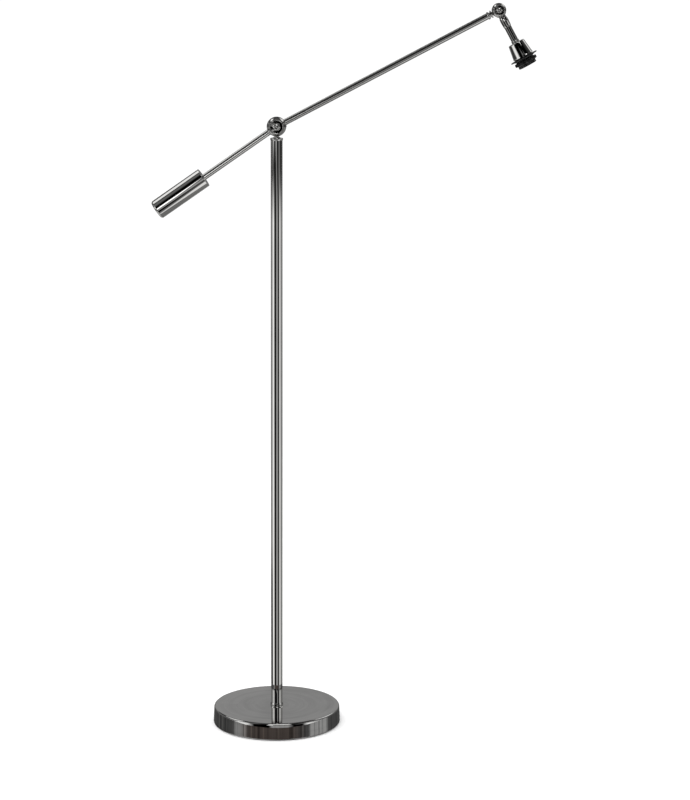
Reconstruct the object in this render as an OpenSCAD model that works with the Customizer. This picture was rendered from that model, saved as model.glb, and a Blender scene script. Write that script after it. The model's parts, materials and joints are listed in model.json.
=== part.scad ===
// Adjustable arm floor lamp: round weighted base, slim pole, balanced arm on a ball knuckle,
// and a screw lampholder on a second, smaller knuckle. Millimetres, +Z up.
// Origin: centre of the underside, on the pole's axis. The arm lies in the XZ plane and
// reaches towards +X; the cord inlet is at the back, +Y.
// Angles of the arm and the stem are measured from +X towards +Z.

/* [Base] */
// Diameter of the base at its foot
base_d = 271; // [240:1:320]
// Diameter of the base at its top edge
base_top_d = 268; // [236:1:316]
// Height of the base over the floor
base_h = 37; // [32:1:60]
// Thickness of the pressed steel cover
cover_t = 1.8; // [1:0.1:2.5]
// Rounding of the cover's top edge
cover_edge_r = 3.5; // [1:0.5:4]
// Rounding of the cover's lower edge, where it is turned in
cover_hem_r = 3; // [2:0.5:4]
// Thickness of the ballast slab
weight_t = 14; // [10:1:18]
// Thickness of the felt under the base
pad_t = 3; // [2:0.5:4]

/* [Pole] */
// Outside diameter of the pole
pole_d = 24.5; // [22:0.5:30]
// Wall of the pole tube
pole_wall = 1.2; // [1:0.1:2]
// Diameter of the ring round the pole's foot
foot_ring_d = 27.4; // [26:0.2:34]
// Height of the ring round the pole's foot
foot_ring_h = 5.5; // [4:0.5:10]
// Diameter of the bead on the pole's cap
cap_bead_d = 27; // [26:0.5:34]
// Height of the bead on the pole's cap
cap_bead_h = 6; // [5:0.5:8]

/* [Elbow] */
// Height of the elbow's centre over the floor
elbow_z = 1269; // [1100:1:1400]
// Diameter of the elbow ball
elbow_ball_d = 41; // [38:0.2:42]
// Distance of the elbow's flat faces from its centre
elbow_flat = 13.1; // [12.5:0.1:13.5]
// Diameter of the round neck under the elbow
neck_d = 14; // [12:0.5:15]

/* [Arm] */
// Angle of the front rod above the horizontal
arm_angle = 27.7; // [20:0.1:32]
// Angle of the rear rod below the horizontal
rear_angle = 34.9; // [30:0.1:35]
// Diameter of both rods
rod_d = 13; // [12:0.1:13]
// Wall of the tubular rods
rod_wall = 1.2; // [1:0.1:1.4]
// Distance from the elbow's centre to the head knuckle's centre
arm_length = 510; // [400:1:650]
// Distance from the elbow's centre to the counterweight
weight_start = 183; // [120:1:220]
// Length of the counterweight
weight_length = 121; // [90:1:150]
// Diameter of the counterweight
weight_d = 41; // [36:0.5:46]

/* [Head] */
// Direction of the stem, from +X
stem_angle = -61; // [-70:0.5:-50]
// Diameter of the tube that carries the lampholder
stem_d = 14.6; // [13:0.2:15]
// Diameter of the head knuckle's ball
head_ball_d = 30.6; // [30:0.2:32]
// Distance of the head knuckle's flat faces from its centre
head_flat = 10.6; // [10:0.1:11]
// Distance from the knuckle's centre to the lampholder's cup
cup_start = 74; // [70:1:90]
// Length of the cup
cup_length = 31; // [28:1:34]
// Diameter of the cup where the stem enters
cup_top_d = 34.5; // [27:0.5:36]
// Diameter of the cup at its mouth
cup_mouth_d = 43.5; // [40:0.5:44]

/* [Lampholder] */
// Outside diameter of the threaded skirt
skirt_d = 39; // [38.6:0.1:39.2]
// Length of the skirt that shows below the cup
skirt_length = 21; // [21:0.5:26]
// Inside diameter of the lamp's screw shell
shell_d = 26.6; // [26.5:0.1:27]
// Diameter of the upper shade ring
shade_ring_d = 59; // [54:1:64]
// Diameter of the lower shade ring over its grips
grip_ring_d = 48; // [46:0.5:50]
// Number of grips round the lower shade ring
grip_count = 12; // [8:1:16]

/* [Hidden] */
$fn = 96;
arc_steps = 6;
touch = 0.05;                 // gap between pieces that are fitted together
run = 0.1;                    // gap round a piece that turns
eps = 0.5;                    // how far a cutter runs past a face

base_r = base_d / 2;
base_top_r = base_top_d / 2;
cover_rim_z = 1.5;
weight_r = base_top_r - 5;
weight_boss_r = 24;
nut_recess_r = 22;
nut_recess_h = 10;
cord_slot_w = 18;
inlet_z = 14;
inlet_bore_r = 3.6;
inlet_shank_r = 6;
inlet_flange_r = 8;
inlet_flange_t = 2;

m10_r = 5;                    // threaded tubes that join the pieces
m10_bore_r = 3.5;
m8_r = 4;
foot_nipple_z = 5;
foot_nipple_top_z = base_h + 19;
washer_t = 2;
nut_t = 5.5;
m10_nut_d = 17 / cos(30);
m10_small_nut_d = 13 / cos(30);

pole_r = pole_d / 2;
pole_bore_r = pole_r - pole_wall;
plug_r = pole_bore_r - touch;
foot_plug_h = 24;

cap_top_z = elbow_z - 22.5;
pole_top_z = cap_top_z - cap_bead_h;
cap_plug_h = 18;
cap_plug_z = pole_top_z - cap_plug_h;
shank_z = cap_plug_z - 20;
swivel_nut_t = 6;
swivel_washer_t = 1.5;
stop_z = cap_plug_z - 12;
stop_pin_r = 1.2;
stop_reach = 9.6;
stop_lug_w = 3;
neck_gap = 0.3;               // under the neck's shoulder, over the pole's cap

elbow_r = elbow_ball_d / 2;
elbow_eye_r = 9;
elbow_tongue_w = 10;
elbow_tongue_t = 9.6;
elbow_slot_t = 10.8;
elbow_washer_t = 0.5;
elbow_stud_half = 15.5;
elbow_pocket_r = 10.5;
elbow_up = 10;                // travel of the arm from rest, degrees
elbow_down = 72;
wire_bore_r = 2.7;
wire_exit_z = elbow_z - 11.5;

rod_r = rod_d / 2;
rod_bore_r = rod_r - rod_wall;
rear_dir = 180 + rear_angle;
elbow_spot = sqrt(elbow_r * elbow_r - rod_r * rod_r);
spot_r = rod_r + 0.6;
front_thread_start = 13.6;
rear_thread_start = 12.3;
nipple_in_rod = 16;
weight_end = weight_start + weight_length;
weight_r_out = weight_d / 2;
weight_shell_t = 1.2;
weight_plate_t = 3;
weight_dome_h = 4;
weight_edge_r = 3;
rod_in_weight = 25;
thread_in_weight = 17;

head_x = arm_length * cos(arm_angle);
head_z = elbow_z + arm_length * sin(arm_angle);
back_dir = 180 + arm_angle;   // from the head knuckle back along the arm
head_r = head_ball_d / 2;
head_eye_r = 7;
head_tongue_w = 8;
head_tongue_t = 7.6;
head_slot_t = 8.6;
head_washer_t = 0.4;
head_stud_r = 3;
head_stud_half = 12.6;
head_pocket_r = 8.2;
head_in = 32;                 // travel of the stem from rest, degrees
head_out = 207;
head_flange_r = 8;
head_flange_start = head_r + 0.6;
head_flange_t = 2.4;
head_neck_r = 5.6;
end_ring_start = 22;
end_ring_l = 4;
end_ring_r = 7.6;
end_plug_l = 20;
head_shank_r = 4.2;
head_shank_l = 26;
head_wire_exit = head_eye_r + 1.2;
clip_l = 3;

stem_r = stem_d / 2;
boss_r = 7.2;
boss_end = 16.2;
stem_start = 26;
bell_start = boss_end + 0.8;
bell_end = 38;
bell_r = 8.5;
bell_top_r = 7.9;
stem_ring_l = 5;
stem_ring_r = 8.2;
stem_end = cup_start - 0.5;
stem_nipple_start = 14;
stem_nipple_end = 40;
cup_nipple_start = cup_start - 14;
cup_nipple_end = cup_start + 16;
cup_wall = 0.8;
cup_end = cup_start + cup_length;
cup_edge_r = 1.5;
dome_start = cup_start + 5;
dome_top_r = 15;
dome_r = cup_mouth_d / 2 - cup_wall - 0.3;
dome_top_t = 3.2;
spigot_start = cup_end - 3.5;
insert_start = cup_start + 18;
insert_end = spigot_start - touch;
insert_body_r = 13.2;
insert_flange_r = 15.4;
insert_flange_t = 4;
skirt_r = skirt_d / 2;
skirt_end = cup_end + skirt_length;
skirt_mouth_r = 15.6;
skirt_wall_r = 17;
shell_r = shell_d / 2;
shell_t = 0.5;
shell_start = cup_end;
shell_end = shell_start + 17;
contact_r = 4;
contact_top = shell_start - 0.6;
terminal_r = 2;
terminal_out = 9.8;
shade_ring_start = cup_end + 1.5;
shade_hub_r = 22.5;
shade_hub_l = 4;
shade_flange_t = 2;
grip_ring_start = shade_ring_start + shade_hub_l + 2.6;
grip_ring_l = 6.5;
grip_body_r = grip_ring_d / 2 - 1.6;
grip_w = 5;

cable_r = 2.9;

// ---- shapes that repeat ----

// Points along a circular arc in a profile
function arc(x, y, r, from, to) =
    [for (i = [0:arc_steps]) let (a = from + (to - from) * i / arc_steps) [x + r * cos(a), y + r * sin(a)]];

module tube(r, bore, h) {
    difference() {
        cylinder(r = r, h = h);
        translate([0, 0, -eps]) cylinder(r = bore, h = h + 2 * eps);
    }
}

// Turned from a profile of [radius, height] points
module turned(points) rotate_extrude() polygon(points);

// A ring with a rounded outside edge
module bead(r, bore, h, round_r) {
    turned(concat([[bore, 0], [bore, h]],
        [for (p = arc(r - round_r, h - round_r, round_r, 90, 0)) p],
        [for (p = arc(r - round_r, round_r, round_r, 0, -90)) p]));
}

module hex_nut(across_corners, bore, h) {
    difference() {
        cylinder(d = across_corners, h = h, $fn = 6);
        translate([0, 0, -eps]) cylinder(r = bore, h = h + 2 * eps);
    }
}

// Local Z points along a direction in the XZ plane
module along(angle) rotate([0, 90 - angle, 0]) children();

// Local Z points to the front, -Y, or to the back, +Y
module to_front() rotate([90, 0, 0]) children();
module to_back() rotate([-90, 0, 0]) children();

module at_elbow() translate([0, 0, elbow_z]) children();
module at_head() translate([head_x, 0, head_z]) children();

// A cylinder on the hinge axis, half to each side
module hinge_pin(r, half) to_back() translate([0, 0, -half]) cylinder(r = r, h = 2 * half);

// Sphere with two flat faces square to the hinge
module flattened_ball(r, flat) {
    intersection() {
        sphere(r = r);
        cube([2 * r + 2, 2 * flat, 2 * r + 2], center = true);
    }
}

// The room that a tongue sweeps inside a ball, between two directions
module swept_slot(width, thickness, pocket_r, reach, from, to) {
    steps = ceil((to - from) / 20);
    to_front() linear_extrude(height = thickness, center = true) {
        circle(r = pocket_r);
        for (a = [from, to]) rotate(a) translate([0, -width / 2]) square([reach, width]);
        polygon(concat([[0, 0]], [for (i = [0:steps])
            let (a = from + (to - from) * i / steps) reach * 1.1 * [cos(a), sin(a)]]));
    }
}

// Two thin rings, one on each face of a knuckle's tongue
module friction_washers(bore, r, inner, t) {
    to_front() translate([0, 0, inner]) tube(r, bore, t);
    to_back() translate([0, 0, inner]) tube(r, bore, t);
}

// Domed cap nut with a rolled ring round its button, lying on a knuckle's flat face
module cap_nut(r, button_r, h, thread_r, thread_h) {
    rim_h = h * 0.42;
    roll_r = (r - button_r) / 2;
    difference() {
        turned(concat([[0, 0], [r, 0]],
            arc(r - roll_r, rim_h - roll_r * 0.55, roll_r, 0, 165),
            [for (i = [0:arc_steps]) let (a = 90 * i / arc_steps)
                [button_r * cos(a), rim_h * 0.62 + (h - rim_h * 0.62) * sin(a)]]));
        translate([0, 0, -eps]) cylinder(r = thread_r, h = thread_h + eps);
    }
}

// ---- base ----

module base_pad() color("dimgray") cylinder(r = weight_r - 3, h = pad_t);

// Cast slab with a boss that the cover is clamped to, a recess for the nut and a slot for the cord
module base_weight() color("#3a3a3c") translate([0, 0, pad_t]) difference() {
    union() {
        cylinder(r = weight_r, h = weight_t);
        cylinder(r = weight_boss_r, h = base_h - cover_t - pad_t);
    }
    translate([0, 0, -eps]) cylinder(r = nut_recess_r, h = nut_recess_h + eps);
    translate([0, 0, -eps]) cylinder(r = m10_r + run, h = base_h);
    translate([-cord_slot_w / 2, nut_recess_r - 3, -eps])
        cube([cord_slot_w, weight_r, nut_recess_h + eps]);
    translate([-cord_slot_w / 2, weight_boss_r + 4, -eps])
        cube([cord_slot_w, weight_r, weight_t + 2 * eps]);
}

module base_cover() color("#8c8c8a") difference() {
    turned(concat([[0, base_h]],
        arc(base_top_r - cover_edge_r, base_h - cover_edge_r, cover_edge_r, 90, 3),
        arc(base_r - cover_hem_r, cover_rim_z + cover_hem_r, cover_hem_r, 0, -90),
        [[base_r - cover_hem_r - 1.5, cover_rim_z], [base_r - cover_hem_r - 1.5, cover_rim_z + cover_t],
         [base_r - cover_hem_r, cover_rim_z + cover_t],
         [base_r - cover_t - 0.2, cover_rim_z + cover_hem_r + 1.5],
         [base_top_r - cover_t, base_h - cover_t], [0, base_h - cover_t]]));
    cylinder(r = m10_r + run, h = base_h + eps);
    translate([0, 0, inlet_z]) to_back() cylinder(r = inlet_shank_r + touch, h = base_r + eps);
}

// Grommet that the mains cord is led in through, at the back of the cover
module cord_inlet() color("#1c1c1c") translate([0, 0, inlet_z]) to_back() difference() {
    union() {
        translate([0, 0, base_r - 6]) cylinder(r = inlet_shank_r, h = 6 + inlet_flange_t);
        translate([0, 0, base_r + 0.1]) cylinder(r = inlet_flange_r, h = inlet_flange_t);
        translate([0, 0, base_r - 6]) cylinder(r = inlet_shank_r + 1, h = 3);
    }
    translate([0, 0, base_r - 6 - eps]) cylinder(r = inlet_bore_r, h = 8 + 2 * eps + inlet_flange_t);
}

module foot_nut() color("silver") translate([0, 0, pad_t + nut_recess_h - washer_t - nut_t])
    hex_nut(m10_nut_d, m10_r + touch, nut_t);

module foot_washer() color("silver") translate([0, 0, pad_t + nut_recess_h - washer_t])
    tube(15, m10_r + run, washer_t);

module foot_nipple() color("darkkhaki") translate([0, 0, foot_nipple_z])
    tube(m10_r, m10_bore_r, foot_nipple_top_z - foot_nipple_z);

module foot_plug() color("silver") translate([0, 0, base_h]) tube(plug_r, m10_r + touch, foot_plug_h);

module foot_ring() color("#9a9a98") translate([0, 0, base_h])
    bead(foot_ring_d / 2, pole_r + touch, foot_ring_h, 1.2);

// ---- pole ----

module pole_tube() color("#9a9a98") translate([0, 0, base_h])
    tube(pole_r, pole_bore_r, pole_top_z - base_h);

// Plug in the pole's top with a bead round it, the bearing that the neck turns in, and a stop lug
module pole_cap() color("#9a9a98") {
    difference() {
        union() {
            translate([0, 0, pole_top_z]) bead(cap_bead_d / 2, 0, cap_bead_h, cap_bead_h / 2 - 0.4);
            translate([0, 0, cap_plug_z]) cylinder(r = plug_r, h = cap_plug_h + 1);
            translate([8, -stop_lug_w / 2, stop_z - 3])
                cube([plug_r - 8.3, stop_lug_w, cap_plug_z - stop_z + 4]);
        }
        translate([0, 0, cap_plug_z - eps])
            cylinder(r = m10_r + run, h = cap_plug_h + cap_bead_h + 2 * eps);
    }
}

module pole_cable() color("#222222") translate([0, 0, foot_nipple_z + 1])
    cylinder(r = cable_r, h = shank_z - foot_nipple_z - 4);

// ---- swivel on top of the pole ----

// Turned neck with a threaded shank below and a flat eye above, bored for the wire
module swivel_neck() color("#9a9a98") difference() {
    union() {
        translate([0, 0, shank_z]) cylinder(r = m10_r, h = elbow_z - elbow_r - 1.5 - shank_z);
        translate([0, 0, cap_top_z + neck_gap])
            cylinder(r = neck_d / 2, h = elbow_z - elbow_r - 0.6 - cap_top_z - neck_gap);
        translate([-elbow_tongue_w / 2, -elbow_tongue_t / 2, elbow_z - elbow_r - 1])
            cube([elbow_tongue_w, elbow_tongue_t, elbow_r + 1]);
        at_elbow() hinge_pin(elbow_eye_r, elbow_tongue_t / 2);
    }
    at_elbow() hinge_pin(m8_r + run, elbow_tongue_t);
    translate([0, 0, shank_z - eps]) cylinder(r = wire_bore_r, h = wire_exit_z - shank_z + eps);
    translate([0, 0, wire_exit_z - wire_bore_r]) rotate([0, 90, 0]) cylinder(r = wire_bore_r, h = elbow_r);
}

module swivel_washer() color("silver") translate([0, 0, cap_plug_z - swivel_washer_t])
    tube(7.6, m10_r + run, swivel_washer_t);

module swivel_nut() color("silver") translate([0, 0, cap_plug_z - swivel_washer_t - swivel_nut_t])
    hex_nut(m10_small_nut_d, m10_r + touch, swivel_nut_t);

// Pin in the shank that meets the cap's lug before the wire can twist
module swivel_stop_pin() color("silver") translate([0, 0, stop_z]) rotate([0, -90, 0])
    translate([0, 0, m10_r]) cylinder(r = stop_pin_r, h = stop_reach - m10_r);

// ---- elbow ----

module elbow_ball() color("#8a8a88") at_elbow() difference() {
    flattened_ball(elbow_r, elbow_flat);
    hinge_pin(m8_r + touch, elbow_r);
    swept_slot(elbow_tongue_w + 0.8, elbow_slot_t, elbow_pocket_r, elbow_r + 2,
        -90 - elbow_up, -90 + elbow_down);
    along(arm_angle) {
        cylinder(r = m10_bore_r, h = elbow_r + eps);
        translate([0, 0, front_thread_start - touch]) cylinder(r = m10_r + touch, h = elbow_r);
        translate([0, 0, elbow_spot]) cylinder(r = spot_r, h = elbow_r);
    }
    along(rear_dir) {
        translate([0, 0, rear_thread_start - touch]) cylinder(r = m8_r + touch, h = elbow_r);
        translate([0, 0, elbow_spot]) cylinder(r = spot_r, h = elbow_r);
    }
}

module elbow_stud() color("silver") at_elbow() hinge_pin(m8_r, elbow_stud_half);

module elbow_cap() cap_nut(14, 8.8, 6.6, m8_r + touch, elbow_stud_half - elbow_flat + 0.2);

module elbow_cap_front() color("#8a8a88") at_elbow() to_front() translate([0, 0, elbow_flat]) elbow_cap();

module elbow_cap_back() color("#8a8a88") at_elbow() to_back() translate([0, 0, elbow_flat]) elbow_cap();

module elbow_friction_washers() color("saddlebrown") at_elbow()
    friction_washers(m8_r + 0.3, elbow_eye_r, elbow_tongue_t / 2 + touch, elbow_washer_t);

// ---- arm ----

module front_rod() color("#9a9a98") at_elbow() along(arm_angle) translate([0, 0, elbow_spot])
    tube(rod_r, rod_bore_r, arm_length - end_ring_start - end_ring_l - elbow_spot);

module front_nipple() color("darkkhaki") at_elbow() along(arm_angle) translate([0, 0, front_thread_start])
    tube(m10_r, m10_bore_r, elbow_spot + nipple_in_rod - front_thread_start);

module arm_cable() color("#222222") at_elbow() along(arm_angle) translate([0, 0, elbow_spot])
    cylinder(r = cable_r, h = arm_length - end_ring_start - head_shank_l - elbow_spot - 6);

// Plug in the rod's end with a ring that shows, bored for the head's shank
module arm_end_bush() color("#9a9a98") at_head() along(back_dir) difference() {
    union() {
        translate([0, 0, end_ring_start]) bead(end_ring_r, 0, end_ring_l, 1);
        translate([0, 0, end_ring_start + 1]) cylinder(r = rod_bore_r - touch, h = end_plug_l);
    }
    translate([0, 0, end_ring_start - eps]) cylinder(r = head_shank_r + run, h = end_plug_l + 2 * eps + 1);
}

// Solid bar, turned down and threaded at both ends
module rear_rod() color("#9a9a98") at_elbow() along(rear_dir) {
    translate([0, 0, elbow_spot]) cylinder(r = rod_r, h = weight_start + rod_in_weight - elbow_spot);
    translate([0, 0, rear_thread_start])
        cylinder(r = m8_r, h = weight_start + rod_in_weight + thread_in_weight - rear_thread_start);
}

// Drawn tube with a domed end
module counterweight_shell() color("#9a9a98") at_elbow() along(rear_dir) translate([0, 0, weight_start])
    difference() {
        counterweight_form(weight_r_out, weight_length, weight_edge_r);
        translate([0, 0, -eps]) counterweight_form(weight_r_out - weight_shell_t,
            weight_length - weight_shell_t + eps, weight_edge_r);
    }

module counterweight_form(r, h, edge_r) {
    shoulder = h - weight_dome_h;
    crown_r = r - edge_r;
    turned(concat([[0, 0], [r, 0]],
        arc(crown_r, shoulder, edge_r, 0, 60),
        [for (i = [1:arc_steps]) let (s = cos(90 * i / arc_steps))
            [(crown_r + edge_r / 2) * s, h - (h - shoulder - edge_r * sin(60)) * s * s]]));
}

module counterweight_core() color("#3a3a3c") at_elbow() along(rear_dir)
    translate([0, 0, weight_start + weight_plate_t]) difference() {
        cylinder(r = weight_r_out - weight_shell_t - touch,
            h = weight_length - weight_dome_h - weight_plate_t - 1);
        translate([0, 0, -eps]) cylinder(r = rod_r + touch, h = rod_in_weight - weight_plate_t + eps);
        cylinder(r = m8_r + touch, h = rod_in_weight + thread_in_weight);
    }

module counterweight_plate() color("#8a8a88") at_elbow() along(rear_dir) translate([0, 0, weight_start])
    tube(weight_r_out - weight_shell_t - touch, rod_r + touch, weight_plate_t);

// ---- knuckle that carries the head ----

// Neck on the arm's end with a shank that turns in the bush, a flange, and a flat eye
module head_neck() color("#9a9a98") at_head() difference() {
    union() {
        along(back_dir) {
            translate([0, 0, head_flange_start]) cylinder(r = head_flange_r, h = head_flange_t);
            translate([0, 0, head_flange_start + 1])
                cylinder(r = head_neck_r, h = end_ring_start - neck_gap - head_flange_start - 1);
            translate([0, 0, head_flange_start + 2]) cylinder(r = head_shank_r,
                h = end_ring_start + head_shank_l - head_flange_start - 2);
            translate([-head_tongue_w / 2, -head_tongue_t / 2 + run, 0])
                cube([head_tongue_w, head_tongue_t - 2 * run, head_flange_start + 1]);
        }
        hinge_pin(head_eye_r, head_tongue_t / 2);
    }
    hinge_pin(head_stud_r + run, head_tongue_t);
    along(back_dir) translate([0, 0, head_wire_exit]) {
        cylinder(r = wire_bore_r, h = end_ring_start + head_shank_l);
        translate([0, 0, wire_bore_r + 0.6]) rotate([0, 90, 0]) cylinder(r = wire_bore_r, h = head_tongue_w);
    }
}

// Retaining clip on the end of the shank, inside the rod
module head_clip() color("silver") at_head() along(back_dir)
    translate([0, 0, end_ring_start + end_plug_l + 1 + run])
    tube(rod_bore_r - run, head_shank_r + touch / 2, clip_l);

// ---- head ----

module head_ball() color("#8a8a88") at_head() difference() {
    union() {
        flattened_ball(head_r, head_flat);
        along(stem_angle) {
            translate([0, 0, head_r / 2]) cylinder(r = boss_r, h = boss_end - head_r / 2);
            translate([0, 0, head_r / 2]) cylinder(r = stem_r, h = stem_start - head_r / 2);
        }
    }
    hinge_pin(head_stud_r + touch, head_r);
    swept_slot(head_tongue_w + 0.8, head_slot_t, head_pocket_r, head_r + 2,
        back_dir - 360 - head_out, back_dir - 360 + head_in);
    along(stem_angle) {
        cylinder(r = m10_bore_r, h = stem_start + eps);
        translate([0, 0, stem_nipple_start - touch]) cylinder(r = m10_r + touch, h = stem_start);
    }
}

module head_stud() color("silver") at_head() hinge_pin(head_stud_r, head_stud_half);

module head_cap() cap_nut(10.6, 6.6, 5, head_stud_r + touch, head_stud_half - head_flat + 0.2);

module head_cap_front() color("#8a8a88") at_head() to_front() translate([0, 0, head_flat]) head_cap();

module head_cap_back() color("#8a8a88") at_head() to_back() translate([0, 0, head_flat]) head_cap();

module head_friction_washers() color("saddlebrown") at_head()
    friction_washers(head_stud_r + 0.3, head_eye_r, head_tongue_t / 2 + touch, head_washer_t);

module on_stem(distance) at_head() along(stem_angle) translate([0, 0, distance]) children();

module stem_nipple() color("darkkhaki") on_stem(stem_nipple_start)
    tube(m10_r, m10_bore_r, stem_nipple_end - stem_nipple_start);

// Bell that covers the joint between the knuckle and the stem
module stem_bell() color("#9a9a98") on_stem(bell_start) {
    h = bell_end - bell_start;
    turned([[stem_r + touch, 0], [bell_top_r, 0], [bell_r - 0.2, h * 0.2], [bell_r, h * 0.35],
        [bell_r, h * 0.45], [bell_r - 0.3, h * 0.65], [stem_r + 0.8, h * 0.9], [stem_r + 0.6, h],
        [stem_r + touch, h]]);
}

module stem_tube() color("#9a9a98") on_stem(stem_start)
    tube(stem_r, stem_r - rod_wall, stem_end - stem_start);

module stem_ring() color("#9a9a98") on_stem(stem_end - stem_ring_l)
    bead(stem_ring_r, stem_r + touch, stem_ring_l, 1.2);

module stem_cable() color("#222222") on_stem(stem_nipple_start + 2)
    cylinder(r = cable_r, h = cup_nipple_end - stem_nipple_start - 3);

module cup_nipple() color("darkkhaki") on_stem(cup_nipple_start)
    tube(m10_r, m10_bore_r, cup_nipple_end - cup_nipple_start);

// ---- lampholder ----

// Spun cup that hides the holder's dome
module holder_cup() color("#8a8a88") on_stem(cup_start) {
    top_r = cup_top_d / 2;
    mouth_r = cup_mouth_d / 2;
    difference() {
        turned(concat([[0, 0]], arc(top_r - cup_edge_r, cup_edge_r, cup_edge_r, -90, -10),
            [[mouth_r, cup_length], [mouth_r - cup_wall, cup_length],
             [top_r - cup_wall - 0.4, cup_wall + 1], [top_r - 2, cup_wall], [0, cup_wall]]));
        translate([0, 0, -eps]) cylinder(r = m10_r + run, h = cup_wall + 2 * eps);
    }
}

// Moulded dome that screws onto the nipple and closes the terminals in
module holder_dome() color("#161616") on_stem(dome_start) {
    h = cup_end - dome_start - 0.5;
    flange_h = insert_end - insert_flange_t - dome_start;
    spigot_h = spigot_start - dome_start;
    difference() {
        turned([[0, 0], [dome_top_r, 0], [dome_top_r + 1.2, 1.4], [dome_r, h],
            [skirt_wall_r + touch, h], [skirt_wall_r + touch, spigot_h], [insert_flange_r + touch, spigot_h],
            [insert_flange_r + touch, flange_h], [insert_body_r + 0.5, flange_h],
            [insert_body_r + 0.5, insert_start - dome_start - 0.5], [dome_top_r - 1.2, dome_top_t],
            [m10_r + 3, dome_top_t], [m10_r + 3, 8], [0, 8]]);
        translate([0, 0, -eps]) cylinder(r = m10_r + touch, h = 9);
    }
}

// Heat-proof insert that carries the contacts
module holder_insert() color("ivory") on_stem(insert_start) difference() {
    union() {
        cylinder(r = insert_body_r, h = insert_end - insert_start);
        translate([0, 0, insert_end - insert_start - insert_flange_t])
            cylinder(r = insert_flange_r, h = insert_flange_t);
    }
    for (side = [-1, 1]) translate([side * terminal_out, 0, -eps])
        cylinder(r = terminal_r + touch, h = 6 + eps);
    translate([0, 0, insert_end - insert_start - 1]) cylinder(r = contact_r + 1, h = 1 + eps);
}

module terminal_screws() color("darkkhaki") on_stem(insert_start - 1.5)
    for (side = [-1, 1]) translate([side * terminal_out, 0, 0]) difference() {
        cylinder(r = terminal_r, h = 7);
        translate([0, 0, -eps]) cube([0.8, 2 * terminal_r + 1, 2], center = true);
    }

module centre_contact() color("darkkhaki") on_stem(insert_end - 0.9)
    turned([[0, 0], [contact_r, 0], [contact_r, 0.6], [contact_r * 0.5, contact_top - insert_end + 0.9],
        [0, contact_top - insert_end + 0.9]]);

// Sleeve that the lamp's cap screws into
module screw_shell() color("darkkhaki") on_stem(shell_start)
    tube(shell_r + shell_t, shell_r, shell_end - shell_start);

// Moulded skirt with the outside thread for the shade rings
module holder_skirt() color("#161616") on_stem(0) difference() {
    union() {
        translate([0, 0, spigot_start]) cylinder(r = skirt_wall_r, h = 4.5);
        translate([0, 0, cup_end]) cylinder(r = skirt_r, h = skirt_length);
    }
    translate([0, 0, spigot_start - eps]) cylinder(r = shell_r + shell_t + touch, h = skirt_length + 5);
    translate([0, 0, shell_end + 0.6]) cylinder(r = skirt_mouth_r, h = skirt_length);
}

// Wide ring that the shade lies against
module shade_ring_upper() color("#161616") on_stem(shade_ring_start) {
    tube(shade_hub_r, skirt_r + touch, shade_hub_l);
    translate([0, 0, 0.6]) bead(shade_ring_d / 2, shade_hub_r - 1, shade_flange_t, shade_flange_t / 2 - 0.1);
}

// Gripped ring that clamps the shade from below
module shade_ring_lower() color("#161616") on_stem(grip_ring_start) difference() {
    union() {
        cylinder(r = grip_body_r, h = grip_ring_l);
        for (i = [0:grip_count - 1]) rotate(360 * i / grip_count)
            translate([0, -grip_w / 2, 0]) cube([grip_ring_d / 2, grip_w, grip_ring_l]);
    }
    translate([0, 0, -eps]) cylinder(r = skirt_r + 2 * run, h = grip_ring_l + 2 * eps);
}

base_pad();
base_weight();
base_cover();
cord_inlet();
foot_nut();
foot_washer();
foot_nipple();
foot_plug();
foot_ring();
pole_tube();
pole_cap();
pole_cable();
swivel_neck();
swivel_washer();
swivel_nut();
swivel_stop_pin();
elbow_ball();
elbow_stud();
elbow_cap_front();
elbow_cap_back();
elbow_friction_washers();
front_rod();
front_nipple();
arm_cable();
arm_end_bush();
rear_rod();
counterweight_shell();
counterweight_core();
counterweight_plate();
head_neck();
head_clip();
head_ball();
head_stud();
head_cap_front();
head_cap_back();
head_friction_washers();
stem_nipple();
stem_bell();
stem_tube();
stem_ring();
stem_cable();
cup_nipple();
holder_cup();
holder_dome();
holder_insert();
terminal_screws();
centre_contact();
screw_shell();
holder_skirt();
shade_ring_upper();
shade_ring_lower();
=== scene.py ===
"""Looks of the adjustable arm floor lamp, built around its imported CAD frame. Metres, row frame."""

import json
import math

import bmesh
import bpy
from mathutils import Matrix, Vector


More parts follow.
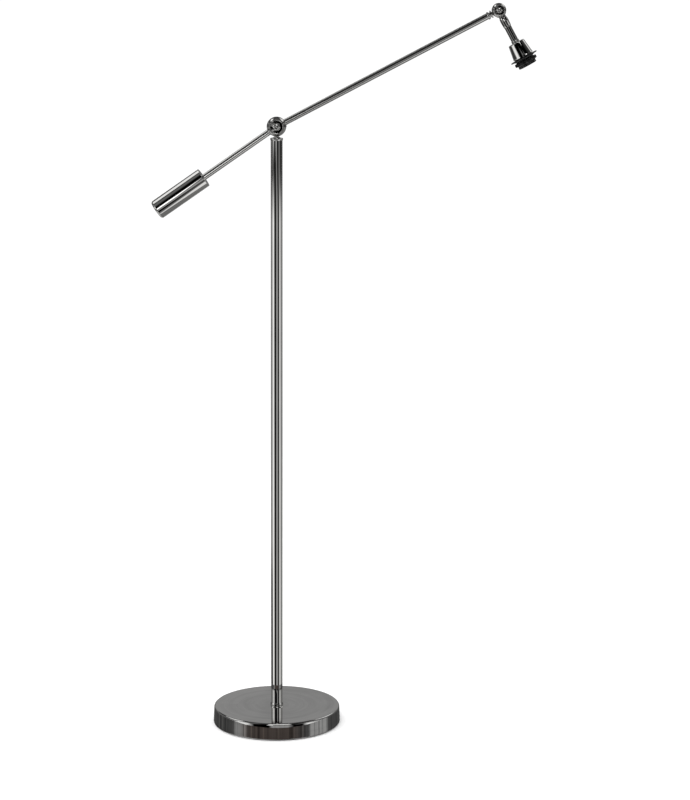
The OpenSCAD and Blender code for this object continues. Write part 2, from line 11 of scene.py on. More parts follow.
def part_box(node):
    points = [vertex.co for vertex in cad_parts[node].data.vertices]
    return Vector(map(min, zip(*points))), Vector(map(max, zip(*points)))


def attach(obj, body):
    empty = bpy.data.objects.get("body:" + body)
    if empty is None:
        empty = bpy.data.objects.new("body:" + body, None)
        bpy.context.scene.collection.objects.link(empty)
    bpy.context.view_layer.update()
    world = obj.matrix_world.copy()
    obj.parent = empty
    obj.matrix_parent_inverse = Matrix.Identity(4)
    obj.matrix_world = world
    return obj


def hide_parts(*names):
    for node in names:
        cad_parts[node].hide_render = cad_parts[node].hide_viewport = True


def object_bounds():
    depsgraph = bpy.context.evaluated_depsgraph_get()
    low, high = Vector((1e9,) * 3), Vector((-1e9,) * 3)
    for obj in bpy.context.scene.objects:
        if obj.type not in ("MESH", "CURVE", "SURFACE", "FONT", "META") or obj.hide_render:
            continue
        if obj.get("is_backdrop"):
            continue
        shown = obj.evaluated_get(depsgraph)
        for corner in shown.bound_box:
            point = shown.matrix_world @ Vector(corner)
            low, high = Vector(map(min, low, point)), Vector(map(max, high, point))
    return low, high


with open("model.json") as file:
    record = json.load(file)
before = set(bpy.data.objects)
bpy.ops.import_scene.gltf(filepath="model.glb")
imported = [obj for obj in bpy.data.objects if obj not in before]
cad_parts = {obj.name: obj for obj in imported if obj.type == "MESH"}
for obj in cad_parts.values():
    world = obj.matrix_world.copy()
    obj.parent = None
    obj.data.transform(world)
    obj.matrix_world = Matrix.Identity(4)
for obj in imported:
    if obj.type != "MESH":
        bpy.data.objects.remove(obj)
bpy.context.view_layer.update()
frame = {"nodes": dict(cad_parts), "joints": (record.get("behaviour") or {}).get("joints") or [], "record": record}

MM = 0.001
TAU = 2 * math.pi
scene = bpy.context.scene
joints = {j["name"]: j for j in frame["joints"]}
ELBOW = Vector(joints["arm_tilt"]["pos_m"])
HEAD = Vector(joints["head_tilt"]["pos_m"])
ARM_DIR = Vector(joints["head_roll"]["axis"]).normalized()
STEM_DIR = Vector(joints["shade_ring_unscrew"]["axis"]).normalized()
FRONT, BACK = Vector((0, -1, 0)), Vector((0, 1, 0))


def middle(node):
    low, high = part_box(node)
    return (low + high) / 2


REAR_DIR = (middle("counterweight_core") - ELBOW).normalized()

# ---------------------------------------------------------------- camera

CAMERA_AT = Vector((0.1658, -4.5, 1.4895))
CAMERA_PITCH = math.radians(-9.94)
CAMERA_YAW = math.radians(-0.29)
CAMERA_ROLL = math.radians(0.29)
CAMERA_LENS, CAMERA_SENSOR = 98.15, 36.0

camera_data = bpy.data.cameras.new("camera")
camera_data.lens = CAMERA_LENS
camera_data.sensor_width = CAMERA_SENSOR
camera_data.clip_end = 100.0
camera = bpy.data.objects.new("camera", camera_data)
scene.collection.objects.link(camera)
ahead = Vector((math.sin(CAMERA_YAW) * math.cos(CAMERA_PITCH), math.cos(CAMERA_YAW) * math.cos(CAMERA_PITCH),
                math.sin(CAMERA_PITCH)))
level = Vector((math.cos(CAMERA_YAW), -math.sin(CAMERA_YAW), 0))
above = level.cross(ahead)
right = level * math.cos(CAMERA_ROLL) + above * math.sin(CAMERA_ROLL)
above = right.cross(ahead)
camera.matrix_world = Matrix.Translation(CAMERA_AT) @ Matrix((right, above, -ahead)).transposed().to_4x4()
scene.camera = camera

# ---------------------------------------------------------------- node helpers


class Nodes:
    """Short calls for building one node tree."""

    def __init__(self, tree):
        self.tree = tree
        tree.nodes.clear()

    def add(self, kind, inputs=None, **settings):
        node = self.tree.nodes.new(kind)
        for name, value in settings.items():
            setattr(node, name, value)
        for name, value in (inputs or {}).items():
            if isinstance(value, bpy.types.NodeSocket):
                self.tree.links.new(value, node.inputs[name])
            else:
                node.inputs[name].default_value = value
        return node

    def math(self, operation, a, b=0.0, clamp=False):
        return self.add("ShaderNodeMath", {0: a, 1: b}, operation=operation, use_clamp=clamp).outputs[0]

    def spread(self, value, from_low, from_high, to_low, to_high, smooth=False):
        return self.add("ShaderNodeMapRange", {0: value, 1: from_low, 2: from_high, 3: to_low, 4: to_high},
                        interpolation_type="SMOOTHSTEP" if smooth else "LINEAR").outputs[0]

    def rise(self, value, low, high):
        """0 below low and 1 above high, with soft ends."""
        return self.spread(value, low, high, 0.0, 1.0, smooth=True)

    def fall(self, value, low, high):
        """1 below low and 0 above high, with soft ends."""
        return self.spread(value, low, high, 1.0, 0.0, smooth=True)

    def apart(self, a, b):
        return self.math("ABSOLUTE", self.math("SUBTRACT", a, b))

    def reach(self, x, y):
        """Distance from the vertical axis."""
        return self.math("SQRT", self.math("ADD", self.math("MULTIPLY", x, x), self.math("MULTIPLY", y, y)))

    def azimuth(self, x, y):
        """Share of a turn round the vertical axis: 0.5 at the front, 0 and 1 at the back."""
        angle = self.math("ARCTAN2", x, self.math("MULTIPLY", y, -1.0))
        return self.math("ADD", self.math("DIVIDE", angle, TAU), 0.5)

    def noise(self, coords, scale, detail=3.0, rough=0.5, distortion=0.0):
        return self.add("ShaderNodeTexNoise", {"Vector": coords, "Scale": scale, "Detail": detail,
                                               "Roughness": rough, "Distortion": distortion}).outputs["Fac"]

    def mix(self, factor, a, b):
        node = self.add("ShaderNodeMix", data_type="RGBA")
        for socket, value in ((node.inputs[0], factor), (node.inputs[6], a), (node.inputs[7], b)):
            if isinstance(value, bpy.types.NodeSocket):
                self.tree.links.new(value, socket)
            else:
                socket.default_value = value
        return node.outputs[2]

    def stretch(self, coords, scale, rotation=(0, 0, 0)):
        inputs = {"Vector": coords, "Scale": scale, "Rotation": rotation}
        return self.add("ShaderNodeMapping", inputs).outputs[0]

    def bump(self, height, strength, distance, normal=None):
        inputs = {"Height": height, "Strength": strength, "Distance": distance}
        if normal is not None:
            inputs["Normal"] = normal
        return self.add("ShaderNodeBump", inputs).outputs[0]


def rgba(colour, gain=1.0):
    return tuple(min(1.0, c * gain) for c in colour) + (1.0,)


def grey(value):
    return (value, value, value, 1.0)


def new_material(name):
    material = bpy.data.materials.new(name)
    material.use_nodes = True
    nodes = Nodes(material.node_tree)
    shader = nodes.add("ShaderNodeBsdfPrincipled")
    nodes.add("ShaderNodeOutputMaterial", {"Surface": shader.outputs[0]})
    return material, nodes, shader


def connect(nodes, shader, name, socket):
    nodes.tree.links.new(socket, shader.inputs[name])


def metal(name, colour, rough, smudging, lay=(1, 1, 1), turn=(0, 0, 0), wave=0.02, scratch=0.012, spin=False):
    """Plated or turned metal. lay stretches the polishing lines, spin runs them round the vertical axis."""
    material, nodes, shader = new_material(name)
    place = nodes.add("ShaderNodeTexCoord").outputs["Object"]
    if spin:
        x, y, z = nodes.add("ShaderNodeSeparateXYZ", {0: place}).outputs
        angle = nodes.math("MULTIPLY", nodes.math("ARCTAN2", y, x), 0.004)
        lines = nodes.add("ShaderNodeCombineXYZ", {0: nodes.reach(x, y), 1: angle, 2: z}).outputs[0]
    else:
        lines = nodes.stretch(place, lay, turn)
    cloud = nodes.noise(place, 17.0, 4.0, 0.55)
    smear = nodes.noise(place, 70.0, 5.0, 0.6, 0.6)
    hair = nodes.noise(lines, 900.0, 2.0, 0.6)
    speck = nodes.noise(place, 1900.0, 1.0)
    tone = nodes.mix(nodes.spread(cloud, 0.3, 0.7, 0.0, 1.0), rgba(colour, 0.95), rgba(colour, 1.03))
    if spin:
        rings = nodes.noise(lines, 75.0, 4.0, 0.6)
        darker = nodes.mix(0.12, tone, grey(0.0))
        tone = nodes.mix(nodes.spread(rings, 0.35, 0.65, 0.0, 1.0), darker, tone)
    tone = nodes.mix(nodes.spread(speck, 0.7, 0.76, 0.0, 0.3), tone, rgba(colour, 0.6))
    connect(nodes, shader, "Base Color", tone)
    smudge = nodes.math("ADD", nodes.spread(smear, 0.4, 0.8, 0.0, smudging),
                        nodes.spread(hair, 0.5, 0.8, 0.0, smudging / 3))
    connect(nodes, shader, "Roughness", nodes.math("ADD", smudge, rough, clamp=True))
    ripple = nodes.bump(nodes.noise(place, 11.0, 1.0), wave, 0.004)
    connect(nodes, shader, "Normal", nodes.bump(hair, scratch, 0.0003, ripple))
    shader.inputs["Metallic"].default_value = 1.0
    return material


def moulded(name, colour, rough, dulling, coat=0.0, grain=0.05, fleck=0.0):
    """Moulded plastic, rubber or ceramic: fine grain, faint flow marks, a few specks."""
    material, nodes, shader = new_material(name)
    place = nodes.add("ShaderNodeTexCoord").outputs["Object"]
    flow = nodes.noise(place, 55.0, 4.0, 0.55, 0.8)
    fine = nodes.noise(place, 2600.0, 2.0)
    dust = nodes.noise(place, 1300.0, 1.0)
    tone = nodes.mix(nodes.spread(flow, 0.3, 0.7, 0.0, 1.0), rgba(colour, 0.85), rgba(colour, 1.2))
    tone = nodes.mix(nodes.spread(dust, 0.7, 0.76, 0.0, fleck), tone, (0.32, 0.31, 0.29, 1))
    connect(nodes, shader, "Base Color", tone)
    connect(nodes, shader, "Roughness", nodes.spread(flow, 0.3, 0.75, rough, rough + dulling))
    connect(nodes, shader, "Normal", nodes.bump(fine, grain, 0.0002, nodes.bump(flow, grain, 0.001)))
    shader.inputs["Coat Weight"].default_value = coat
    shader.inputs["Coat Roughness"].default_value = 0.04
    return material


def felted(name, colour):
    material, nodes, shader = new_material(name)
    place = nodes.add("ShaderNodeTexCoord").outputs["Object"]
    tuft = nodes.noise(place, 420.0, 6.0, 0.7, 1.5)
    fibre = nodes.noise(nodes.stretch(place, (1, 1, 3)), 1700.0, 3.0, 0.6, 2.0)
    tone = nodes.mix(nodes.spread(tuft, 0.3, 0.7, 0, 1), rgba(colour, 0.6), rgba(colour, 1.6))
    connect(nodes, shader, "Base Color", tone)
    connect(nodes, shader, "Roughness", nodes.spread(fibre, 0.3, 0.7, 0.85, 1.0))
    connect(nodes, shader, "Normal", nodes.bump(fibre, 0.6, 0.0006, nodes.bump(tuft, 0.5, 0.001)))
    shader.inputs["Sheen Weight"].default_value = 0.3
    return material


def cast(name, colour):
    material, nodes, shader = new_material(name)
    place = nodes.add("ShaderNodeTexCoord").outputs["Object"]
    sand = nodes.noise(place, 650.0, 5.0, 0.65)
    lump = nodes.noise(place, 45.0, 3.0)
    rust = nodes.spread(nodes.noise(place, 120.0, 6.0, 0.7, 0.4), 0.6, 0.72, 0.0, 0.6)
    tone = nodes.mix(rust, nodes.mix(lump, rgba(colour, 0.8), rgba(colour, 1.3)), (0.16, 0.07, 0.035, 1))
    connect(nodes, shader, "Base Color", tone)
    connect(nodes, shader, "Roughness", nodes.spread(sand, 0.3, 0.7, 0.55, 0.85))
    connect(nodes, shader, "Normal", nodes.bump(sand, 0.5, 0.0008, nodes.bump(lump, 0.3, 0.002)))
    shader.inputs["Metallic"].default_value = 0.6
    return material


NICKEL = (0.66, 0.655, 0.64)
COVER_NICKEL = (0.64, 0.635, 0.625)
# polishing lines drawn out along local Z, which is then laid along each rod
DRAWN = (1, 1, 0.02)
MATERIALS = {
    "chrome_upright": metal("chrome_upright", NICKEL, 0.015, 0.03, lay=DRAWN),
    "chrome_arm": metal("chrome_arm", NICKEL, 0.015, 0.03, lay=DRAWN, turn=(0, math.radians(-62), 0)),
    "chrome_rear": metal("chrome_rear", NICKEL, 0.015, 0.03, lay=DRAWN, turn=(0, math.radians(-55), 0)),
    "chrome_stem": metal("chrome_stem", NICKEL, 0.02, 0.04, lay=DRAWN, turn=(0, math.radians(-29), 0)),
    "chrome_turned": metal("chrome_turned", NICKEL, 0.02, 0.04),
    "polished_cover": metal("polished_cover", COVER_NICKEL, 0.015, 0.045, wave=0.05, scratch=0.015,
                            spin=True),
    "zinc_steel": metal("zinc_steel", (0.62, 0.63, 0.64), 0.26, 0.2, wave=0.04, scratch=0.1),
    "brass": metal("brass", (0.78, 0.60, 0.28), 0.16, 0.16, wave=0.04, scratch=0.05),
    "phenolic": moulded("phenolic", (0.004, 0.004, 0.0042), 0.10, 0.14, coat=0.2, grain=0.03, fleck=0.12),
    "ceramic": moulded("ceramic", (0.78, 0.75, 0.68), 0.38, 0.2, grain=0.12, fleck=0.5),
    "pvc": moulded("pvc", (0.016, 0.016, 0.017), 0.42, 0.2, grain=0.15, fleck=0.2),
    "fibre": moulded("fibre", (0.28, 0.12, 0.06), 0.6, 0.2, grain=0.3, fleck=0.3),
    "felt": felted("felt", (0.03, 0.03, 0.032)),
    "cast_iron": cast("cast_iron", (0.05, 0.05, 0.055)),
}
BY_BODY = {"stand": "chrome_upright", "swivel": "chrome_upright", "arm": "chrome_arm", "wrist": "chrome_arm",
           "head": "chrome_stem", "clamp_ring": "phenolic"}
BY_NODE = {"rear_rod": "chrome_rear", "counterweight_plate": "chrome_rear",
           "counterweight_shell": "chrome_rear", "elbow_ball": "chrome_turned", "head_ball": "chrome_turned"}
BODY_OF = {n: b for b, ns in frame["record"]["behaviour"]["bodies"].items() for n in ns}
SLOT_OF = {p["node"]: p["material_slot"] for p in frame["record"]["subparts"]}


def finish_of(node):
    """The material for a CAD node, or for the piece that replaces it."""
    slot = SLOT_OF[node]
    if slot != "dark_chrome":
        return MATERIALS[slot]
    return MATERIALS[BY_NODE.get(node, BY_BODY[BODY_OF[node]])]


def dress(obj, material):
    obj.data.materials.clear()
    obj.data.materials.append(material)


def mark_edges(mesh, limit=math.radians(32)):
    """Smooth shading with crisp edges where two faces meet at more than the limit."""
    bm = bmesh.new()
    bm.from_mesh(mesh)
    for face in bm.faces:
        face.smooth = True
    for edge in bm.edges:
        edge.smooth = len(edge.link_faces) == 2 and edge.calc_face_angle(0.0) < limit
    bm.to_mesh(mesh)
    bm.free()


for node_name, node_object in frame["nodes"].items():
    dress(node_object, finish_of(node_name))

# ---------------------------------------------------------------- shapes


def fillet(points, steps=6):
    """Rounds the corners of a profile. Each point is (radius, height) or (radius, height, rounding)."""
    out = []
    count = len(points)
    for i, point in enumerate(points):
        here = Vector(point[:2])
        rounding = point[2] if len(point) > 2 else 0.0
        if rounding <= 0 or i in (0, count - 1):
            out.append(tuple(here))
            continue
        before, after = Vector(points[i - 1][:2]) - here, Vector(points[i + 1][:2]) - here
        half = before.angle(after) / 2
        if half > math.radians(89):
            out.append(tuple(here))
            continue
        back_off = min(rounding / math.tan(half), before.length * 0.499, after.length * 0.499)
        radius = back_off * math.tan(half)
        centre = here + (before.normalized() + after.normalized()).normalized() * (radius / math.sin(half))
        start = here + before.normalized() * back_off - centre
        end = here + after.normalized() * back_off - centre
        sweep = start.angle_signed(end)
        for k in range(steps + 1):
            turned = start.copy()
            turned.rotate(Matrix.Rotation(-sweep * k / steps, 2))
            out.append(tuple(centre + turned))
    return out


def frame_at(origin, axis):
    """Local Z along the axis, local X as near the row's -Y as it goes."""
    z = axis.normalized()
    x = (FRONT - z * FRONT.dot(z))
    x = x.normalized() if x.length > 0.1 else Vector((1, 0, 0))
    return Matrix.Translation(origin) @ Matrix((x, z.cross(x), z)).transposed().to_4x4()


def as_object(name, bm, place):
    """Links a bmesh to the scene as one object, with its shape set in place."""
    mesh = bpy.data.meshes.new(name)
    bm.to_mesh(mesh)
    bm.free()
    mesh.transform(place)
    obj = bpy.data.objects.new(name, mesh)
    scene.collection.objects.link(obj)
    return obj


def add_piece(name, bm, place, node, others=()):
    """Turns a bmesh in millimetres into a piece that stands for a CAD node and moves with its body."""
    bmesh.ops.remove_doubles(bm, verts=bm.verts, dist=1e-4)
    bmesh.ops.recalc_face_normals(bm, faces=bm.faces)
    piece = as_object(name, bm, place @ Matrix.Scale(MM, 4))
    mark_edges(piece.data)
    dress(piece, finish_of(node))
    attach(piece, BODY_OF[node])
    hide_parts(node, *others)
    return piece


def lathe(points, segments=160, shape=None, closed=True):
    """Turns a closed or axis-to-axis profile round local Z. shape(angle, radius, height) may move a point."""
    bm = bmesh.new()
    rings = []
    for radius, height in points:
        if radius < 1e-6:
            rings.append([bm.verts.new((0, 0, height))])
            continue
        ring = []
        for i in range(segments):
            angle = TAU * i / segments
            r, h = shape(angle, radius, height) if shape else (radius, height)
            ring.append(bm.verts.new((r * math.cos(angle), r * math.sin(angle), h)))
        rings.append(ring)
    round_trip = closed and len(rings[0]) > 1 and len(rings[-1]) > 1
    pairs = list(zip(rings, rings[1:])) + ([(rings[-1], rings[0])] if round_trip else [])
    for lower, upper in pairs:
        for i in range(segments):
            j = (i + 1) % segments
            corners = [lower[i % len(lower)], lower[j % len(lower)],
                       upper[j % len(upper)], upper[i % len(upper)]]
            unique = list(dict.fromkeys(corners))
            if len(unique) > 2:
                bm.faces.new(unique)
    return bm


# ---------------------------------------------------------------- base

cover_low, cover_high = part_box("base_cover")
BASE_R = cover_high.x / MM
BASE_TOP = cover_high.z / MM
COVER_RIM = cover_low.z / MM
COVER_WALL = 1.8
COVER_TAPER = 1.5
HEM_DEPTH = 4.5
TOP_R = BASE_R - COVER_TAPER
INLET = middle("cord_inlet") / MM
INLET_HOLE_R = 5.6
BACK_WALL_DEPTH = 12

cover = lathe(fillet([
    (0, BASE_TOP), (40, BASE_TOP), (90, BASE_TOP), (TOP_R, BASE_TOP, 3.5), (BASE_R, COVER_RIM, 3.0),
    (BASE_R - HEM_DEPTH, COVER_RIM, 0.4), (BASE_R - HEM_DEPTH, COVER_RIM + COVER_WALL, 0.4),
    (BASE_R - 2.4, COVER_RIM + COVER_WALL + 1.2, 1.0), (TOP_R - COVER_WALL, BASE_TOP - COVER_WALL, 1.0),
    (0, BASE_TOP - COVER_WALL)], steps=8), segments=432)
# the wall is cut in rings near the inlet, so that a round hole can be opened there
for offset in range(-5, 6, 2):
    bmesh.ops.bisect_plane(cover, geom=cover.verts[:] + cover.edges[:] + cover.faces[:],
                           plane_co=(0, 0, INLET.z + offset), plane_no=(0, 0, 1))


def in_inlet(face):
    spot = face.calc_center_median()
    return spot.y > BASE_R - BACK_WALL_DEPTH and math.hypot(spot.x - INLET.x, spot.z - INLET.z) < INLET_HOLE_R


bmesh.ops.delete(cover, geom=[face for face in cover.faces if in_inlet(face)], context="FACES")
add_piece("base_shell", cover, Matrix.Identity(4), "base_cover")

grommet = lathe(fillet([
    (3.6, -4.0, 0.5), (7.0, -4.0, 0.8), (7.0, -1.0, 0.4), (6.0, -1.0, 0.3), (6.0, 2.0, 0.2), (8.0, 2.0, 0.6),
    (8.0, 4.1, 1.2), (3.6, 4.1, 0.9), (3.6, 0.0)]), segments=96)
add_piece("cord_grommet", grommet, frame_at(middle("cord_inlet"), BACK), "cord_inlet")

foot_low, foot_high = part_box("foot_ring")
FOOT_R = foot_high.x / MM
POLE_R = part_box("pole_tube")[1].x / MM
add_piece("foot_collar", lathe(fillet([
    (POLE_R + 0.05, 0.0), (FOOT_R, 0.0, 0.4), (FOOT_R, 3.0, 1.6), (POLE_R + 0.5, 5.5, 0.4),
    (POLE_R + 0.05, 5.5), (POLE_R + 0.05, 2.0)]), 160), Matrix.Translation((0, 0, foot_low.z)), "foot_ring")

# ---------------------------------------------------------------- pole's cap

cap_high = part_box("pole_cap")[1]
CAP_R = cap_high.x / MM
add_piece("pole_bead", lathe(fillet([
    (5.1, 0.0, 0.4), (10.4, 0.0, 0.8), (CAP_R - 0.6, -0.6, 1.6), (CAP_R, -3.0, 1.4), (CAP_R - 1.0, -5.6, 1.4),
    (POLE_R - 0.2, -6.0), (10.75, -6.0), (10.75, -24.0), (5.1, -24.0), (5.1, -12.0)]), 160),
    Matrix.Translation((0, 0, cap_high.z)), "pole_cap")

# ---------------------------------------------------------------- knuckle caps

# outer radius, button's radius and height of each cap
CAP_SIZES = {"elbow": (14.4, 7.0, 7.0), "head": (10.8, 5.4, 5.2)}
DISH_FLOOR, DISH_SLOPE = 0.8, math.radians(13)
DOME_STEPS = 16


def cap_profile(outer, button, height):
    """A domed button in the middle of a dished ring with a rounded lip, on a seat at height 0."""
    rim = height * 0.5
    crest = height * 0.44
    lip = outer - (outer - button) * 0.14
    dish_end = DISH_FLOOR + (lip - button) * math.tan(DISH_SLOPE)
    quarter = [TAU / 4 * i / DOME_STEPS for i in range(DOME_STEPS + 1)]
    dome = [(button * math.sin(angle), crest + (height - crest) * math.cos(angle)) for angle in quarter]
    ring = fillet([
        (button, crest), (button, DISH_FLOOR, 0.3), (button + 0.4, DISH_FLOOR, 0.2),
        (lip - 0.1, dish_end, 1.6), (lip, rim - 0.2, 0.2), (lip + 0.5, rim, 0.4),
        (outer - 0.4, rim - 0.2, 0.5), (outer, rim - 1.0, 0.6), (outer, 0.0, 0.2), (button * 0.5, 0.0)])
    return dome + ring[1:] + [(button * 0.5, height * 0.2), (0, height * 0.2)]


for part, size in CAP_SIZES.items():
    for side, axis in (("front", FRONT), ("back", BACK)):
        node_name = f"{part}_cap_{side}"
        low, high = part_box(node_name)
        seat = middle(node_name)
        seat.y = high.y if side == "front" else low.y
        add_piece(f"{part}_button_{side}", lathe(cap_profile(*size), 128), frame_at(seat, axis), node_name)

# ---------------------------------------------------------------- counterweight

WEIGHT_START, WEIGHT_LENGTH, WEIGHT_R, WEIGHT_WALL = 183.0, 121.0, 20.5, 1.2
add_piece("weight_sleeve", lathe(fillet([
    (0, WEIGHT_LENGTH), (8, WEIGHT_LENGTH - 0.35, 8.0), (WEIGHT_R - 2.2, WEIGHT_LENGTH - 1.6, 3.0),
    (WEIGHT_R, WEIGHT_LENGTH - 5.0, 3.6), (WEIGHT_R, 0.0, 0.5), (WEIGHT_R - WEIGHT_WALL, 0.0, 0.2),
    (WEIGHT_R - WEIGHT_WALL, WEIGHT_LENGTH - 6.0, 2.0), (0, WEIGHT_LENGTH - 2.0)], steps=8), 192),
    frame_at(ELBOW + REAR_DIR * WEIGHT_START * MM, REAR_DIR), "counterweight_shell")

# ---------------------------------------------------------------- arm's end and stem


def on_stem(distance):
    return frame_at(HEAD + STEM_DIR * distance * MM, STEM_DIR)


SHELL_L = 17.0
CUP_L = 31.0
CUP_END = (middle("screw_shell") - HEAD).dot(STEM_DIR) / MM - SHELL_L / 2
# distances from the head's joint: to both tubes' near ends, to the arm's end collar and to the flare
TUBE_CLEAR, ARM_END, FLARE_START = 26.0, 22.0, 17.0
STEM_END = CUP_END - CUP_L - 0.5
STEM_RING_L = 5.0

add_piece("arm_end_collar", lathe(fillet([
    (4.3, 0.0, 0.3), (7.4, 0.0, 0.6), (8.1, 1.2, 0.8), (8.1, 2.9, 0.8), (7.4, 4.0, 0.4), (5.25, 4.0),
    (5.25, 21.0), (4.3, 21.0), (4.3, 10.0)]), 128),
    frame_at(HEAD - ARM_DIR * ARM_END * MM, -ARM_DIR), "arm_end_bush")

add_piece("stem_flare", lathe(fillet([
    (7.35, 0.0, 0.2), (7.9, 0.0, 0.3), (8.3, 2.5, 3.0), (8.6, 7.5, 4.0), (8.5, 11.0, 3.0), (8.2, 17.0, 5.0),
    (7.8, 21.0, 0.3), (7.35, 21.0), (7.35, 10.0)]), 128), on_stem(FLARE_START), "stem_bell")

add_piece("stem_collar", lathe(fillet([
    (7.35, 0.0), (7.8, 0.0, 0.4), (8.4, 1.3, 0.8), (8.4, 3.7, 0.8), (7.8, STEM_RING_L, 0.4),
    (7.35, STEM_RING_L), (7.35, 2.5)]), 128), on_stem(STEM_END - STEM_RING_L), "stem_ring")

add_piece("holder_cone", lathe(fillet([
    (5.1, 0.0), (17.25, 0.0, 1.6), (21.3, 28.4, 3.0), (21.75, 30.2, 0.7), (21.6, CUP_L, 0.3),
    (20.9, CUP_L, 0.2), (20.5, 28.0, 1.0), (16.2, 0.9, 1.0), (5.1, 0.9), (5.1, 0.5)]), 192),
    on_stem(CUP_END - CUP_L), "holder_cup")

# ---------------------------------------------------------------- lampholder


def groove(angle, height, pitch):
    """0 on the crest of a right-hand thread and 1 at its root."""
    phase = (height / pitch - angle / TAU) % 1.0
    return 0.5 + 0.5 * math.cos(TAU * phase)


def fade(height, low, high, run_out):
    """1 along the thread, running out to 0 at both its ends."""
    return max(0.0, min(1.0, (height - low) / run_out, (high - height) / run_out))


def steps_between(low, high, step):
    count = max(1, round((high - low) / step))
    return [low + (high - low) * i / count for i in range(count + 1)]


SKIRT_R, SKIRT_L, SKIRT_PITCH, SKIRT_DEPTH = 19.5, 21.0, 2.6, 0.55


def skirt_thread(angle, radius, height):
    if radius < SKIRT_R - 0.01:
        return radius, height
    cut = SKIRT_DEPTH * groove(angle, height, SKIRT_PITCH) * fade(height, 0.6, SKIRT_L - 1.6, 1.2)
    return radius - cut, height


THREAD_STEP = 0.26
skirt = [(17.0, -3.5), (17.0, 0.0), (19.1, 0.0)]
skirt += [(SKIRT_R, h) for h in steps_between(0.4, SKIRT_L - 1.2, THREAD_STEP)]
skirt += fillet([
    (SKIRT_R, SKIRT_L - 1.2), (SKIRT_R - 0.3, SKIRT_L, 0.6), (16.4, SKIRT_L, 0.6), (15.6, SKIRT_L - 0.9, 0.4),
    (15.6, 17.7, 0.3), (13.9, 17.7, 0.2), (13.85, 16.5)])[1:]
skirt += [(13.85, 6.0), (13.85, -3.5)]
add_piece("holder_thread", lathe(skirt, 144, skirt_thread), on_stem(CUP_END), "holder_skirt")

SHELL_R, SHELL_BORE, SHELL_PITCH, SHELL_DEPTH = 13.78, 13.4, 3.63, 0.95


def shell_thread(angle, radius, height):
    depth = SHELL_DEPTH * groove(angle, height, SHELL_PITCH) * fade(height, 0.3, SHELL_L - 0.8, 1.8)
    return radius - depth, height


shell_heights = steps_between(0.0, SHELL_L, 0.3)
shell = [(SHELL_R, h) for h in shell_heights] + [(SHELL_BORE, h) for h in reversed(shell_heights)]
add_piece("rolled_shell", lathe(shell, 120, shell_thread), on_stem(CUP_END), "screw_shell")

# wide ring: rounded rim, a raised hub, and fine radial ribs on the face that meets the shade
RIBS, RIB_DEPTH = 60, 0.22
WIDE_RING_START, GRIPPED_RING_START = CUP_END + 1.5, CUP_END + 8.1


def ribbed(angle, radius, height):
    if 23.5 < radius < 27.6 and height > 2.0:
        return radius, height - RIB_DEPTH * (0.5 + 0.5 * math.cos(RIBS * angle))
    return radius, height


add_piece("wide_ring", lathe(fillet([
    (19.55, 0.0, 0.3), (21.8, 0.0, 0.8), (22.3, 0.9, 0.5), (24.0, 0.75, 0.5), (28.6, 0.6, 0.9),
    (29.5, 1.5, 0.8), (28.7, 2.6, 0.6), (27.5, 2.5), (27.0, 2.55), (24.2, 2.55), (23.6, 2.5),
    (22.8, 2.6, 0.3), (22.5, 3.4, 0.4), (21.8, 4.0, 0.4), (19.55, 4.0, 0.3), (19.55, 2.0)]), 480, ribbed),
    on_stem(WIDE_RING_START), "shade_ring_upper")

# gripped ring: twelve rounded lugs, softened towards both faces
LUGS, LUG_R, LUG_BODY_R, LUG_L = 12, 24.0, 22.3, 6.5


def lugged(angle, radius, height):
    if radius < LUG_BODY_R - 0.8:
        return radius, height
    wave = math.cos(LUGS * angle)
    lug = 1 / (1 + math.exp(-9 * (wave - 0.15)))
    return radius - (LUG_R - LUG_BODY_R) * (1 - lug) * min(1.0, (radius - 21.0) / 2.4), height


add_piece("gripped_ring", lathe(fillet([
    (19.7, 0.0, 0.3), (21.6, 0.0), (LUG_R - 0.7, 0.0, 0.9), (LUG_R, 1.4, 0.9), (LUG_R, LUG_L - 1.4, 0.9),
    (LUG_R - 0.7, LUG_L, 0.9), (21.6, LUG_L), (19.7, LUG_L, 0.3), (19.7, LUG_L / 2)]), 360, lugged),
    on_stem(GRIPPED_RING_START), "shade_ring_lower")

# centre contact: a domed stud, seen at the bottom of the socket
CONTACT_START = CUP_END - 4.4
add_piece("contact_stud", lathe(fillet([
    (0, 3.0), (1.8, 2.8, 0.8), (2.6, 1.4, 0.8), (3.9, 0.5, 0.3), (4.0, 0.0), (0, 0.0)]), 64),
    on_stem(CONTACT_START), "centre_contact")

# ---------------------------------------------------------------- pole, rods and stem

# the drawn tubes and the rear rod, rounder than in the CAD mesh; both rods start at ROD_START from the elbow
ROD_R, STEM_R, TUBE_WALL, ROD_START = 6.5, 7.3, 1.2, 19.44
TUBE_SEGMENTS = 192
ROD_IN_WEIGHT = 25
REAR_ROD_END = WEIGHT_START + ROD_IN_WEIGHT
# the rear rod's threaded ends: radius, where the inner one starts, and how far the outer one sticks out
THREAD_R, THREAD_START, THREAD_REACH = 4.0, 12.3, 17.0


def sleeve(name, node, place, radius, start, end):
    """A plain tube from start to end along the local Z of place."""
    bore = radius - TUBE_WALL
    outline = [(bore, start), (radius, start), (radius, end), (bore, end)]
    add_piece(name, lathe(outline, TUBE_SEGMENTS), place, node)


